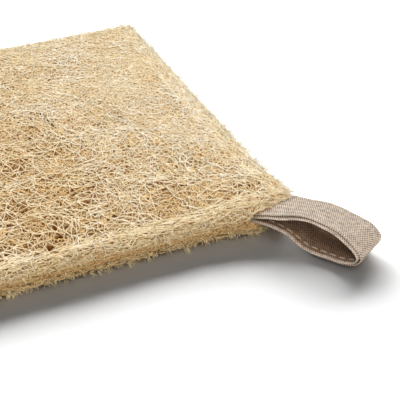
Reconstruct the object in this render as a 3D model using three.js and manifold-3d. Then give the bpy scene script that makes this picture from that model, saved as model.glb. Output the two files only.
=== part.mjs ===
// A loofah scrubbing pad: two flattened sheets of natural loofah, seamed round the edge and turned,
// with a folded linen tape caught in one corner as a hanging loop.
// Millimetres, +Z up. The origin is the middle of the pad, on the surface that it lies on.
// +X points along the short side and -Y along the long side, both towards the corner with the loop.
import * as THREE from "three";
import { mergeVertices } from "three/addons/utils/BufferGeometryUtils.js";
import Module from "manifold-3d";

// Driving dimensions of the pad
const PAD_X = 120; // short side
const PAD_Y = 154; // long side
const SEAM_Z = 4.6; // height of the seam, halfway up the edge
const SHEET_GAP = 0.3; // the two sheets lie this far apart
const CORNER_RADIUS = 5;

// The edge of a sheet, from the crease at the seam, round its roll and down to the net:
// distance in from the outline, and height above the seam
const EDGE_PROFILE = [
  { inset: 1.2, height: SHEET_GAP / 2 },
  { inset: 0, height: 2.2 },
  { inset: 1.3, height: 4.1 },
  { inset: 3.2, height: 4.5 },
  { inset: 5.2, height: 4.0 },
];
const ROLL_ROUGHNESS = 0.45; // strands that run along the roll

// The net of strands between the rolled edges
const NET_INSET = 8; // where the net meets the roll
const NET_COLUMNS = 16;
const NET_ROWS = 27;
const NODE_JITTER = 0.26; // share of a mesh by which a knot of the net strays
const STRAND_JITTER = 0.7; // how unevenly high the strands lie
const PIT_DEPTH = 2.5; // how deep the meshes sink between the strands
const TOP_NET_HEIGHT = 3.9; // strands above the seam, on the top sheet
const TOP_SWELL = 0.9; // how much the top sheet rises towards its middle
const BOTTOM_NET_HEIGHT = 4.5; // strands below the seam, on the bottom sheet
const REST_SPOT_RADIUS = 8; // the underside is pressed flat this far round the origin
const TOP_SEED = 20;
const BOTTOM_SEED = 57;

// The inside faces of the sheets
const FLAT_INSET = 12; // further in than this, they are flat

// The linen tape
const TAPE_WIDTH = 15;
const PLY = 0.6; // thickness of each of its two plies
const PLY_GAP = 0.2; // between the plies, open along the near edge
const FOLD_WIDTH = 0.9; // the plies are one along the far edge
const INNER_PLY_LIP = 0.4; // the inner ply stands out past the outer one
const TAPE_THICKNESS = 2 * PLY + PLY_GAP;
const EXIT = new THREE.Vector2(PAD_X / 2 - 16, -PAD_Y / 2); // the near edge of the tape leaves the pad here
const LOOP_TURN = THREE.MathUtils.degToRad(-58); // direction of the loop, from +X
const TAPE_STEPS = 60;
// The middle of the tape's thickness: distance out from EXIT, and height
const TAPE_LINE = [
  [-9, 5.15],
  [-4, 6.4],
  [0, 7.05],
  [6, 9.1],
  [13, 10.9],
  [19, 12.4],
  [24, 12.75],
  [30, 12.1],
  [35.5, 10.6],
  [39.3, 8.2],
  [40.9, 5.6],
  [39, 2.9],
  [34.5, 1.5],
  [29, 1.25],
  [24, 1.25],
  [20, 1.8],
  [16, 3.6],
  [12, 5],
  [7, 5.5],
  [0, 5],
  [-4, 4.2],
  [-9, 2.95],
];
// The top of the loop tilts: its near edge is this much higher, and its far edge lower
const TILT = 1.15;
const TILT_START = 9.5; // height where the tilt begins
const TILT_FULL = 12.75; // and where it is full
// The height halfway between the tape's two ends: where they leave the pad, and its slope along them
const SLIT_HEIGHT = 6.05;
const SLIT_SLOPE = 0.19;

// Where the tape parts the two sheets
const POCKET_CLEARANCE = 0.3;
const POCKET_INSIDE = -9.4; // from just behind the tape's ends
const POCKET_OUTSIDE = 10; // to clear of the corner
const MOUTH_MARGIN = 0.8; // the sheets stay fully parted this far beside the tape
const MOUTH_SLOPE = 5; // and have closed again this far from it
const MOUTH_REACH = 24; // how far from the corner the top sheet bulges over the tape
const TOP_LIP_LIFT = 3.7; // how far the top sheet's crease is pushed up
const TOP_BULGE = 2.9; // how far its outside is pushed up
const BOTTOM_LIP_DROP = 0.4;

// The threads
const SEAM_INSET = 5; // the seam runs this far in from the outline
const SEAM_THREAD_RADIUS = 0.25;
const SEAM_CLEARANCE = 0.3;
const SEAM_RISE_START = 7; // this far beside the tape, the seam begins to rise to its two ends
const SEAM_RISE_END = 1.5;
const STITCH_INSET = 1.6; // from the near edge of the tape
const STITCH_WIDTH = 0.6;
const STITCH_CLEARANCE = 0.15;
const STITCH_LOW = 0.2; // thickness between two stitches
const STITCH_HIGH = 0.4; // thickness in the middle of one

const LOOFAH = new THREE.MeshStandardMaterial({ color: "#dcc59c", roughness: 0.85, metalness: 0 });
const LINEN = new THREE.MeshStandardMaterial({ color: "#b3a597", roughness: 0.95, metalness: 0 });
const THREAD = new THREE.MeshStandardMaterial({ color: "#c4b8ab", roughness: 0.8, metalness: 0 });

const wasm = await Module();
wasm.setup();

// A closed geometry as a manifold-3d solid
function toSolid(geometry) {
  const bare = geometry.clone();
  bare.deleteAttribute("normal");
  bare.deleteAttribute("uv");
  const merged = mergeVertices(bare, 1e-4);
  return new wasm.Manifold(
    new wasm.Mesh({
      numProp: 3,
      vertProperties: new Float32Array(merged.getAttribute("position").array),
      triVerts: new Uint32Array(merged.getIndex().array),
    }),
  );
}

// A manifold-3d solid as a geometry
function toGeometry(solid) {
  const mesh = solid.getMesh();
  const geometry = new THREE.BufferGeometry();
  geometry.setAttribute("position", new THREE.BufferAttribute(new Float32Array(mesh.vertProperties), 3));
  geometry.setIndex(new THREE.BufferAttribute(new Uint32Array(mesh.triVerts), 1));
  geometry.computeVertexNormals();
  return geometry;
}

// Random numbers from 0 to 1 that are the same in every build
function seededRandom(seed) {
  let state = seed;
  return () => {
    state = (state * 1664525 + 1013904223) >>> 0;
    return state / 2 ** 32;
  };
}

// A point in the pad's frame, from a distance along the loop and one across the tape
function fromTape(along, across) {
  return new THREE.Vector2(along, across).rotateAround(new THREE.Vector2(), LOOP_TURN).add(EXIT);
}

// How near a point is to the tape, from 0 at one distance from it to 1 at another
function nearTape(point, from, to) {
  const local = point.clone().sub(EXIT).rotateAround(new THREE.Vector2(), -LOOP_TURN);
  const beside = Math.abs(local.y - TAPE_WIDTH / 2) - TAPE_WIDTH / 2;
  const behind = POCKET_INSIDE - local.x;
  return 1 - THREE.MathUtils.smoothstep(Math.max(beside, behind), to, from);
}

// How much the tape parts the sheets at a point, from 0 to 1
function mouthAt(point) {
  return nearTape(point, MOUTH_SLOPE, MOUTH_MARGIN);
}

// How much the top sheet bulges over the tape at a point, from 0 to 1
function bulgeAt(point) {
  const centre = fromTape(0, TAPE_WIDTH / 2);
  return 1 - THREE.MathUtils.smoothstep(point.distanceTo(centre), MOUTH_REACH / 4, MOUTH_REACH);
}

// One side of the pad's outline, set in by a distance, from mid-corner to mid-corner.
// The sides are numbered 0 front, 1 right, 2 back and 3 left.
function outlineSide(side, inset) {
  const halfX = PAD_X / 2 - inset;
  const halfY = PAD_Y / 2 - inset;
  const [half, out] = side % 2 ? [halfY, halfX] : [halfX, halfY];
  const radius = Math.max(CORNER_RADIUS - inset, 0.8);
  const straight = half - radius;
  const quarter = Math.PI / 2;
  const path = new THREE.Path();
  path.absarc(-straight, -out + radius, radius, -1.5 * quarter, -quarter);
  path.lineTo(straight, -out);
  path.absarc(straight, -out + radius, radius, -quarter, -0.5 * quarter);
  return (share) => path.getPointAt(share).rotateAround(new THREE.Vector2(), side * quarter);
}

// The points all round the pad at an inset, in step with the border of the net
function ringPoints(inset) {
  const counts = [2 * NET_COLUMNS, NET_ROWS, 2 * NET_COLUMNS, NET_ROWS];
  return counts.flatMap((count, side) => {
    const pointAt = outlineSide(side, inset);
    return Array.from({ length: count }, (_, step) => pointAt(step / count));
  });
}

// The net's knots run along wavy rows. Row line j has a knot every half mesh, and strands
// that cross from it to the next line leave from every second knot.
function knotPlace(line, knot, random) {
  const meshX = (PAD_X - 2 * NET_INSET) / NET_COLUMNS;
  const meshY = (PAD_Y - 2 * NET_INSET) / NET_ROWS;
  const wave = (line + knot) % 2 ? -1 / 6 : 1 / 6;
  return new THREE.Vector2(
    (knot / 2 - NET_COLUMNS / 2 + (random() - 0.5) * NODE_JITTER) * meshX,
    (line - NET_ROWS / 2 + wave + (random() - 0.5) * 2 * NODE_JITTER) * meshY,
  );
}

// Where a knot of the net's border stands in the ring around the pad, or -1 inside the net
function borderIndex(line, knot) {
  const wide = 2 * NET_COLUMNS;
  if (line === 0 && knot < wide) return knot;
  if (knot === wide && line < NET_ROWS) return wide + line;
  if (line === NET_ROWS && knot > 0) return wide + NET_ROWS + (wide - knot);
  if (knot === 0) return 2 * wide + NET_ROWS + (NET_ROWS - line);
  return -1;
}

// One sheet of loofah. side is 1 for the top sheet and -1 for the bottom one.
function sheetGeometry(side, seed) {
  const random = seededRandom(seed);
  const positions = [];
  const triangles = [];
  const isTop = side > 0;

  // Adds a vertex by its height above or below the seam, kept on or over the surface that the pad lies on
  function vertex(point, height) {
    const kept = isTop ? height : Math.min(height, SEAM_Z);
    positions.push(point.x, point.y, SEAM_Z + side * kept);
    return positions.length / 3 - 1;
  }
  function triangle(a, b, c) {
    triangles.push(...(isTop ? [a, b, c] : [a, c, b]));
  }
  // Joins two rings of vertices, the first outside the second
  function band(outer, inner) {
    outer.forEach((a, i) => {
      const next = (i + 1) % outer.length;
      triangle(a, outer[next], inner[i]);
      triangle(outer[next], inner[next], inner[i]);
    });
  }
  function lipHeight(point) {
    return mouthAt(point) * (isTop ? TOP_LIP_LIFT : -BOTTOM_LIP_DROP);
  }
  function outsideLift(point) {
    return isTop ? bulgeAt(point) * TOP_BULGE : 0;
  }
  function strandHeight(point) {
    const swell =
      Math.cos((point.x / PAD_X) * Math.PI) * Math.cos((point.y / PAD_Y) * Math.PI) * (isTop ? TOP_SWELL : 0);
    const ripple = 0.25 * Math.sin(point.x / 11 + point.y / 17) + 0.25 * Math.sin(point.y / 9 - point.x / 23);
    const uneven = (random() - 0.5) * STRAND_JITTER;
    return (isTop ? TOP_NET_HEIGHT : BOTTOM_NET_HEIGHT) + swell + ripple + uneven + outsideLift(point);
  }
  function isPressedFlat(point) {
    return !isTop && point.length() < REST_SPOT_RADIUS;
  }

  const border = ringPoints(NET_INSET);
  const rim = border.map((point) => vertex(point, strandHeight(point)));
  const knots = Array.from({ length: NET_ROWS + 1 }, (_, line) =>
    Array.from({ length: 2 * NET_COLUMNS + 1 }, (_, knot) => {
      const place = knotPlace(line, knot, random);
      const onBorder = borderIndex(line, knot);
      if (onBorder >= 0) return rim[onBorder];
      return vertex(place, isPressedFlat(place) ? SEAM_Z : strandHeight(place));
    }),
  );

  // A mesh of the net sinks from the strands around it to the middle
  function mesh(line, from, to) {
    const near = knots[line].slice(from, to + 1);
    const far = knots[line + 1].slice(from, to + 1).reverse();
    const around = [...near, ...far];
    const middle = new THREE.Vector2();
    around.forEach((v) => middle.add(new THREE.Vector2(positions[3 * v], positions[3 * v + 1])));
    middle.divideScalar(around.length);
    const depth = PIT_DEPTH * (0.6 + 0.6 * random());
    const bottom = vertex(middle, isPressedFlat(middle) ? SEAM_Z : strandHeight(middle) - depth);
    around.forEach((v, i) => triangle(v, around[(i + 1) % around.length], bottom));
  }
  for (let line = 0; line < NET_ROWS; line++) {
    const first = line % 2;
    if (first) mesh(line, 0, 1);
    for (let knot = first; knot + 2 <= 2 * NET_COLUMNS; knot += 2) mesh(line, knot, knot + 2);
    if (first) mesh(line, 2 * NET_COLUMNS - 1, 2 * NET_COLUMNS);
  }

  // The rolled edge, from the crease to the net
  const rings = EDGE_PROFILE.map(({ inset, height }, ring) =>
    ringPoints(inset).map((point) => {
      if (ring === 0) return vertex(point, height + lipHeight(point));
      const uneven = (random() - 0.5) * ROLL_ROUGHNESS;
      return vertex(point, height + uneven + outsideLift(point) + 0.25 * lipHeight(point) * (ring === 1));
    }),
  );
  [...rings, rim].reduce((outer, inner) => {
    band(outer, inner);
    return inner;
  });

  // The inside face, from the crease to the flat middle
  const flatPoints = ringPoints(FLAT_INSET);
  const flatRing = flatPoints.map((point) => vertex(point, SHEET_GAP / 2));
  band(flatRing, rings[0]);
  THREE.ShapeUtils.triangulateShape(flatPoints, []).forEach(([a, b, c]) =>
    triangle(flatRing[a], flatRing[c], flatRing[b]),
  );

  const geometry = new THREE.BufferGeometry();
  geometry.setAttribute("position", new THREE.Float32BufferAttribute(positions, 3));
  geometry.setIndex(triangles);
  return geometry;
}

// The tape's line with its even samples and their normals, which point out of the loop
function tapeSamples() {
  const curve = new THREE.SplineCurve(TAPE_LINE.map(([along, height]) => new THREE.Vector2(along, height)));
  return Array.from({ length: TAPE_STEPS + 1 }, (_, i) => {
    const tangent = curve.getTangentAt(i / TAPE_STEPS);
    return { point: curve.getPointAt(i / TAPE_STEPS), normal: new THREE.Vector2(-tangent.y, tangent.x) };
  });
}

// Tilts the top of the loop in a geometry that lies along X and across Y
function tilt(geometry) {
  const place = geometry.getAttribute("position");
  for (let i = 0; i < place.count; i++) {
    const share = THREE.MathUtils.smoothstep(place.getZ(i), TILT_START, TILT_FULL);
    place.setZ(i, place.getZ(i) + TILT * share * (1 - (2 * place.getY(i)) / TAPE_WIDTH));
  }
  return geometry;
}

// A band between two offsets from the tape's line, as a solid across the tape
function bandAlongTape(samples, insideAt, outsideAt, nearEdge, width) {
  const offset = ({ point, normal }, distance) => point.clone().addScaledVector(normal, distance);
  const outline = [
    ...samples.map((sample, i) => offset(sample, outsideAt(i))),
    ...samples.map((sample, i) => offset(sample, insideAt(i))).reverse(),
  ];
  const geometry = new THREE.ExtrudeGeometry(new THREE.Shape(outline), { depth: width, bevelEnabled: false });
  return geometry.rotateX(Math.PI / 2).translate(0, nearEdge + width, 0);
}

function tapeGeometry() {
  const samples = tapeSamples();
  const outside = TAPE_THICKNESS / 2;
  const slit = PLY_GAP / 2;
  const outerPly = bandAlongTape(samples, () => slit, () => outside, 0, TAPE_WIDTH);
  const innerPly = bandAlongTape(samples, () => -outside, () => -slit, -INNER_PLY_LIP, TAPE_WIDTH + INNER_PLY_LIP);
  const fold = bandAlongTape(samples, () => -outside, () => outside, TAPE_WIDTH - FOLD_WIDTH, FOLD_WIDTH);
  return tilt(toGeometry(toSolid(outerPly).add(toSolid(innerPly)).add(toSolid(fold))));
}

// The row of stitches along the tape's near edge, on one face: 1 is the outside of the loop, -1 the inside
function stitchGeometry(face) {
  const samples = tapeSamples().filter(({ point }) => point.x > POCKET_OUTSIDE / 2);
  const foot = TAPE_THICKNESS / 2 + STITCH_CLEARANCE;
  const crown = (i) => foot + (i % 2 ? STITCH_HIGH : STITCH_LOW);
  if (face > 0) return tilt(bandAlongTape(samples, () => foot, crown, STITCH_INSET, STITCH_WIDTH));
  return tilt(bandAlongTape(samples, (i) => -crown(i), () => -foot, STITCH_INSET, STITCH_WIDTH));
}

// The room that the tape's ends take between the sheets
function pocketSolid() {
  const samples = tapeSamples().filter(({ point }) => point.x < POCKET_OUTSIDE);
  const half = samples.length / 2;
  const reach = TAPE_THICKNESS / 2 + POCKET_CLEARANCE;
  const outer = samples.map(({ point, normal }) => point.clone().addScaledVector(normal, reach));
  const upper = outer.slice(0, half);
  const lower = outer.slice(half);
  const behind = POCKET_INSIDE;
  const outline = [new THREE.Vector2(behind, upper[0].y), ...upper, ...lower, new THREE.Vector2(behind, lower.at(-1).y)];
  const width = TAPE_WIDTH + INNER_PLY_LIP + 2 * POCKET_CLEARANCE;
  const geometry = new THREE.ExtrudeGeometry(new THREE.Shape(outline), { depth: width, bevelEnabled: false });
  geometry.rotateX(Math.PI / 2).translate(0, width - INNER_PLY_LIP - POCKET_CLEARANCE, 0);
  return toSolid(geometry.rotateZ(LOOP_TURN).translate(EXIT.x, EXIT.y, 0));
}

// A tube along the seam: all round the pad, and between the tape's two ends where the seam holds them
function seamTube(radius, sides) {
  const points = ringPoints(SEAM_INSET).filter((_, i) => i % 2 === 0);
  const riseAt = (point) => nearTape(point, SEAM_RISE_START, SEAM_RISE_END);
  const start = points.findIndex((point) => riseAt(point) > 0) + Math.round(points.length / 2);
  const route = points.map((_, i) => {
    const point = points[(start + i) % points.length];
    const along = point.clone().sub(EXIT).rotateAround(new THREE.Vector2(), -LOOP_TURN).x;
    const slit = SLIT_HEIGHT + SLIT_SLOPE * along;
    return new THREE.Vector3(point.x, point.y, THREE.MathUtils.lerp(SEAM_Z, slit, riseAt(point)));
  });
  const section = new THREE.Shape(new THREE.EllipseCurve(0, 0, radius, radius).getPoints(sides));
  return new THREE.ExtrudeGeometry(section, {
    steps: route.length,
    extrudePath: new THREE.CatmullRomCurve3(route),
    bevelEnabled: false,
  });
}

function namedMesh(name, geometry, material) {
  const mesh = new THREE.Mesh(geometry, material);
  mesh.name = name;
  return mesh;
}

function pad() {
  const pocket = pocketSolid();
  const channel = toSolid(seamTube((SEAM_THREAD_RADIUS + SEAM_CLEARANCE) * Math.SQRT2, 4));
  const cut = (geometry) => toGeometry(toSolid(geometry).subtract(pocket).subtract(channel));
  return new THREE.Group().add(
    namedMesh("top_loofah_sheet", cut(sheetGeometry(1, TOP_SEED)), LOOFAH),
    namedMesh("bottom_loofah_sheet", cut(sheetGeometry(-1, BOTTOM_SEED)), LOOFAH),
    namedMesh("seam_thread", seamTube(SEAM_THREAD_RADIUS, 5), THREAD),
  );
}

function hangingLoop() {
  const loop = new THREE.Group().add(
    namedMesh("loop_tape", tapeGeometry(), LINEN),
    namedMesh("loop_stitches_outside", stitchGeometry(1), THREAD),
    namedMesh("loop_stitches_inside", stitchGeometry(-1), THREAD),
  );
  loop.position.set(EXIT.x, EXIT.y, 0);
  loop.rotation.z = LOOP_TURN;
  return loop;
}

export default new THREE.Group().add(pad(), hangingLoop());
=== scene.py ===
"""A natural loofah pad with a linen hanging loop, on a white floor.

Lengths are millimetres in the row frame until a mesh is made; Blender gets metres.
Each loofah sheet is drawn as if its rolled edge were unrolled flat: a plan point there, and a height over
the net's surface, are turned into a place by on_sheet.
"""

import math

import bpy
import numpy as np
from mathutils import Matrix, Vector
from mathutils.geometry import delaunay_2d_cdt

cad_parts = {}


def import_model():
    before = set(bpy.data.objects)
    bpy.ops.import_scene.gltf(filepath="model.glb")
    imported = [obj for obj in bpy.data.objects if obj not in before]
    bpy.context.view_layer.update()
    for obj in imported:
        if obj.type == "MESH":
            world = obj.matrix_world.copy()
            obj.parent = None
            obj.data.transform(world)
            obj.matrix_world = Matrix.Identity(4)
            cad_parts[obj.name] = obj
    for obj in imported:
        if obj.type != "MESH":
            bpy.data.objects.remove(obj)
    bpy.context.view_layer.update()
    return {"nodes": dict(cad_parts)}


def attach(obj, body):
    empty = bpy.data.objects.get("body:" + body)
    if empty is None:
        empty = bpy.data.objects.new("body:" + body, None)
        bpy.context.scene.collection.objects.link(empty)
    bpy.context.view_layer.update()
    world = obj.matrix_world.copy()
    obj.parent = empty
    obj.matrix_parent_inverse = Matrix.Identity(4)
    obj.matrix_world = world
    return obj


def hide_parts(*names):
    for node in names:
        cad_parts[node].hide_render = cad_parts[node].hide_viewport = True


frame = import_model()

MM = 0.001

# The pad, as the CAD model has it
HALF = np.array([60.0, 77.0])
CORNER_RADIUS = 5.0
SEAM_Z = 4.6
EDGE_PROFILE = [(0.5, 0.1), (0.0, 2.2), (1.3, 4.1), (3.2, 4.5), (5.2, 4.0), (8.0, 3.9)]
NET_INSET = EDGE_PROFILE[-1][0]
NET_HEIGHT = {1: 3.9, -1: 4.4}
SWELL = {1: 0.9, -1: 0.0}
EXIT = np.array([HALF[0] - 16.0, -HALF[1]])
LOOP_TURN = math.radians(-58)
ALONG = np.array([math.cos(LOOP_TURN), math.sin(LOOP_TURN)])
ACROSS = np.array([-ALONG[1], ALONG[0]])
TAPE_WIDTH = 15.0
LIP_LINE = [(-9, 5.85), (-4, 7.1), (0, 7.75), (6, 9.8), (13, 11.6)]
TOP_BULGE = 2.9
MOUTH_MARGIN = 0.8
MOUTH_SLOPE = 3.4
MOUTH_REACH = 24.0
LIP_REACH = 2.0
LIP_SPAN = 7.0
LIP_GIRTH = 2.0
POCKET_INSIDE = -9.4
VALLEY = [(-66, 53), (-57.5, 51), (-40, 45), (-10, 33), (20, 24)]  # y and x along it
VALLEY_FRONT = (-70, -62)  # it sets in between these y
VALLEY_BACK = (-14, 12)  # and fades out between these
VALLEY_DEPTH = 0.8
VALLEY_WIDTH = 1.6
RIPPLE = 0.25
RIPPLE_LENGTHS = [(11, 17), (-23, 9)]  # along x and y, for each of the two ripples of a sheet
NET_BLEND = 3.0  # the net takes over from the rolled edge by this girth past its start
CREASE_GIRTH = 3.5
LEAST_HEIGHT = 0.22  # the middle lines of the underside's fibres stay this far over the floor


def smoothstep(x, low, high):
    t = np.clip((x - low) / (high - low), 0, 1)
    return t * t * (3 - 2 * t)


def unit(v):
    return v / np.maximum(np.linalg.norm(v, axis=-1, keepdims=True), 1e-9)


def smooth_line(points, per_span):
    """A Catmull-Rom line through the points."""
    p = np.asarray(points, float)
    before, after = np.vstack([p[:1], p[:-2]]), np.vstack([p[2:], p[-1:]])
    a, b = p[:-1, None], p[1:, None]
    start, end = (b - before[:, None]) / 2, (after[:, None] - a) / 2
    t = np.linspace(0, 1, per_span, endpoint=False)[None, :, None]
    line = (2 * a - 2 * b + start + end) * t**3 + (3 * b - 3 * a - 2 * start - end) * t**2 + start * t + a
    return np.vstack([line.reshape(-1, p.shape[1]), p[-1:]])


def lengths_along(line):
    """The distance of each point from the line's start."""
    return np.concatenate([[0], np.cumsum(np.linalg.norm(np.diff(line, axis=0), axis=1))])


# The rolled edge unrolled: girth runs from the crease at the seam, round the roll and onto the net
PROFILE_STEPS = 12
PROFILE = smooth_line(EDGE_PROFILE, PROFILE_STEPS)
GIRTH = lengths_along(PROFILE)
PROFILE_SLOPE = unit(np.gradient(PROFILE, axis=0))
NET_GIRTH = GIRTH[-1]
UNROLLED = NET_GIRTH - NET_INSET
FLAT_RADIUS = CORNER_RADIUS + UNROLLED
CORE = HALF - CORNER_RADIUS
FLAT_HALF = CORE + FLAT_RADIUS
ROLL_END = GIRTH[-1 - PROFILE_STEPS]  # at the last point of the edge's profile but one


def outline_frame(plan):
    """For plan points of the unrolled sheet: girth in from the crease, and the direction out of the pad."""
    off = plan - np.clip(plan, -CORE, CORE)
    reach = np.linalg.norm(off, axis=-1)
    beside = FLAT_HALF - abs(plan)
    side = np.eye(2)[beside.argmin(-1)] * np.where(plan < 0, -1, 1)
    inner = (reach < 1e-6)[..., None]
    outward = np.where(inner, side, off / np.maximum(reach, 1e-6)[..., None])
    girth = np.where(inner[..., 0], beside.min(-1), FLAT_RADIUS - reach)
    return girth, outward


def mouth_at(point):
    """How much the tape parts the sheets, from 0 to 1."""
    local = point - EXIT
    beside = abs(local @ ACROSS - TAPE_WIDTH / 2) - TAPE_WIDTH / 2
    away = np.maximum(beside, POCKET_INSIDE - local @ ALONG)
    return 1 - smoothstep(away, MOUTH_MARGIN, MOUTH_SLOPE)


def bulge_at(point):
    """How much the top sheet bulges over the tape, from 0 to 1."""
    centre = EXIT + ACROSS * TAPE_WIDTH / 2
    return 1 - smoothstep(np.linalg.norm(point - centre, axis=-1), MOUTH_REACH / 4, MOUTH_REACH)


def beyond_valley(point):
    """How far a point lies to the right of the shallow valley that runs down to the loop's corner."""
    return point[..., 0] - np.interp(point[..., 1], *zip(*VALLEY))


def valley_at(point):
    """The depth of that valley."""
    ends = smoothstep(point[..., 1], *VALLEY_FRONT) * (1 - smoothstep(point[..., 1], *VALLEY_BACK))
    return VALLEY_DEPTH * np.exp(-((beyond_valley(point) / VALLEY_WIDTH) ** 2)) * ends


def lip_share(point, girth):
    """How much the rolled edge reaches out over the tape, from 0 to 1."""
    near = np.exp(-((np.linalg.norm(point - EXIT, axis=-1) / LIP_SPAN) ** 2))
    return near * (1 - smoothstep(girth, LIP_GIRTH, NET_GIRTH))


def dome(share):
    """1 in the middle of the pad and 0 at its edge, for a share of the way there."""
    return np.cos(np.clip(share, -1, 1) * np.pi / 2)


def net_height(point, side):
    """How far a sheet's net lies from the seam."""
    x, y = point[..., 0], point[..., 1]
    swell = SWELL[side] * dome(x / HALF[0]) * dome(y / HALF[1])
    ripple = sum(RIPPLE * np.sin(x / along_x + y / along_y) for along_x, along_y in RIPPLE_LENGTHS)
    height = NET_HEIGHT[side] + swell + ripple
    return height - valley_at(point) if side > 0 else height


def on_sheet(plan, lift, side):
    """Places and normals for plan points of the unrolled sheet, lifted off its net."""
    girth, outward = outline_frame(plan)
    girth = np.maximum(girth, 0)
    inset = np.where(girth < NET_GIRTH, np.interp(girth, GIRTH, PROFILE[:, 0]), girth - UNROLLED)
    point = plan - outward * np.clip(UNROLLED - girth + inset, 0, None)[..., None]
    point = point + outward * (LIP_REACH * lip_share(point, girth))[..., None]
    on_net = smoothstep(girth, ROLL_END, NET_GIRTH + NET_BLEND)
    height = np.interp(girth, GIRTH, PROFILE[:, 1]) * (1 - on_net) + net_height(point, side) * on_net
    if side > 0:
        crease = 1 - smoothstep(girth, 0, CREASE_GIRTH)
        along = (point - EXIT) @ ALONG
        lip = np.interp(along, *zip(*LIP_LINE)) - SEAM_Z
        height = height + TOP_BULGE * bulge_at(point) * (1 - crease) + lip * mouth_at(point) * crease
    slope_in = np.interp(girth, GIRTH, PROFILE_SLOPE[:, 0])
    slope_up = np.interp(girth, GIRTH, PROFILE_SLOPE[:, 1]) * (1 - on_net)
    normal = unit(np.concatenate([outward * slope_up[..., None], side * slope_in[..., None]], axis=-1))
    place = np.concatenate([point, (SEAM_Z + side * height)[..., None]], axis=-1) + normal * lift[..., None]
    if side < 0:
        place[..., 2] = np.maximum(place[..., 2], LEAST_HEIGHT)
    return place, normal


def around(distance, girth):
    """The plan point at a distance round the pad, counted along the core's edge and corners, and a girth."""
    quarter = FLAT_RADIUS * math.pi / 2
    sides = [2 * CORE[0], 2 * CORE[1], 2 * CORE[0], 2 * CORE[1]]
    total = sum(sides) + 4 * quarter
    rest = np.mod(distance, total)
    centre = np.zeros(rest.shape + (2,))
    turn = np.zeros(rest.shape)
    start = 0.0
    for number, length in enumerate(sides):
        first = CORE * ([-1, -1], [1, -1], [1, 1], [-1, 1])[number]
        last = CORE * ([1, -1], [1, 1], [-1, 1], [-1, -1])[number]
        here = (rest >= start) & (rest < start + length + quarter)
        share = np.clip((rest - start) / length, 0, 1)[..., None]
        bend = np.clip((rest - start - length) / quarter, 0, 1)
        centre = np.where(here[..., None], first + (last - first) * share, centre)
        turn = np.where(here, (number - 1 + bend) * math.pi / 2, turn)
        start += length + quarter
    outward = np.stack([np.cos(turn), np.sin(turn)], axis=-1)
    return centre + outward * (FLAT_RADIUS - girth)[..., None]


ROUND = 4 * CORE.sum() + 2 * math.pi * FLAT_RADIUS


WAVE_COUNT = 7
WAVE_PEAK = 3.2  # brings most of the waves' sum between -1 and 1


def waves(plan, wavelength, seed):
    """Smooth noise of about -1 to 1."""
    random = np.random.default_rng(seed)
    total = 0
    angles = random.uniform(0, 2 * np.pi, WAVE_COUNT)
    phases = random.uniform(0, 2 * np.pi, WAVE_COUNT)
    stretches = random.uniform(0.7, 1.5, WAVE_COUNT)
    for angle, phase, stretch in zip(angles, phases, stretches):
        heading = np.array([math.cos(angle), math.sin(angle)])
        total = total + np.sin(plan @ heading * 2 * np.pi * stretch / wavelength + phase)
    return total / WAVE_PEAK


# Materials


def principled(name, roughness, specular):
    material = bpy.data.materials.new(name)
    material.use_nodes = True
    shader = material.node_tree.nodes["Principled BSDF"]
    shader.inputs["Roughness"].default_value = roughness
    shader.inputs["Specular IOR Level"].default_value = specular
    return material, material.node_tree, shader


def noise(tree, scale, detail, coordinates=None):
    node = tree.nodes.new("ShaderNodeTexNoise")
    node.inputs["Scale"].default_value = scale
    node.inputs["Detail"].default_value = detail
    if coordinates is None:
        coordinates = tree.nodes.new("ShaderNodeTexCoord").outputs["Object"]
    tree.links.new(coordinates, node.inputs["Vector"])
    return node.outputs["Fac"]


def ramp(tree, factor, stops):
    node = tree.nodes.new("ShaderNodeValToRGB")
    elements = node.color_ramp.elements
    while len(elements) < len(stops):
        elements.new(0.5)
    for element, (position, color) in zip(elements, stops):
        element.position = position
        element.color = (*color, 1)
    tree.links.new(factor, node.inputs["Fac"])
    return node.outputs["Color"]


def mix(tree, factor, a, b, blend="MIX"):
    node = tree.nodes.new("ShaderNodeMix")
    node.data_type = "RGBA"
    node.blend_type = blend
    for socket, value in ((node.inputs[0], factor), (node.inputs[6], a), (node.inputs[7], b)):
        if isinstance(value, bpy.types.NodeSocket):
            tree.links.new(value, socket)
        else:
            socket.default_value = value
    return node.outputs[2]


def arithmetic(tree, operation, a, b=0.0):
    node = tree.nodes.new("ShaderNodeMath")
    node.operation = operation
    for socket, value in zip(node.inputs, (a, b)):
        if isinstance(value, bpy.types.NodeSocket):
            tree.links.new(value, socket)
        else:
            socket.default_value = value
    return node.outputs[0]


def bump(tree, shader, height, strength, distance):
    node = tree.nodes.new("ShaderNodeBump")
    node.inputs["Strength"].default_value = strength
    node.inputs["Distance"].default_value = distance
    tree.links.new(height, node.inputs["Height"])
    tree.links.new(node.outputs["Normal"], shader.inputs["Normal"])


def object_axis(tree, axis):
    """One of the pad's own coordinates, in metres."""
    split = tree.nodes.new("ShaderNodeSeparateXYZ")
    tree.links.new(tree.nodes.new("ShaderNodeTexCoord").outputs["Object"], split.inputs["Vector"])
    return split.outputs[axis]


def span(tree, value, low, high, top=1.0):
    """0 at one value, and top at another."""
    node = tree.nodes.new("ShaderNodeMapRange")
    node.inputs["From Min"].default_value = low
    node.inputs["From Max"].default_value = high
    node.inputs["To Max"].default_value = top
    tree.links.new(value, node.inputs["Value"])
    return node.outputs["Result"]


def object_height(tree, low, high):
    """0 below one height of the pad and 1 above another, in millimetres."""
    return span(tree, object_axis(tree, "Z"), low * MM, high * MM)


FELT_AND_SHADE_PER_METRE = (9.0, 4.5)  # how fast the mask goes from painted shade at the front left to felt, along x and y
FELT_AND_SHADE_SPAN = (-0.25, 0.45)


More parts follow.
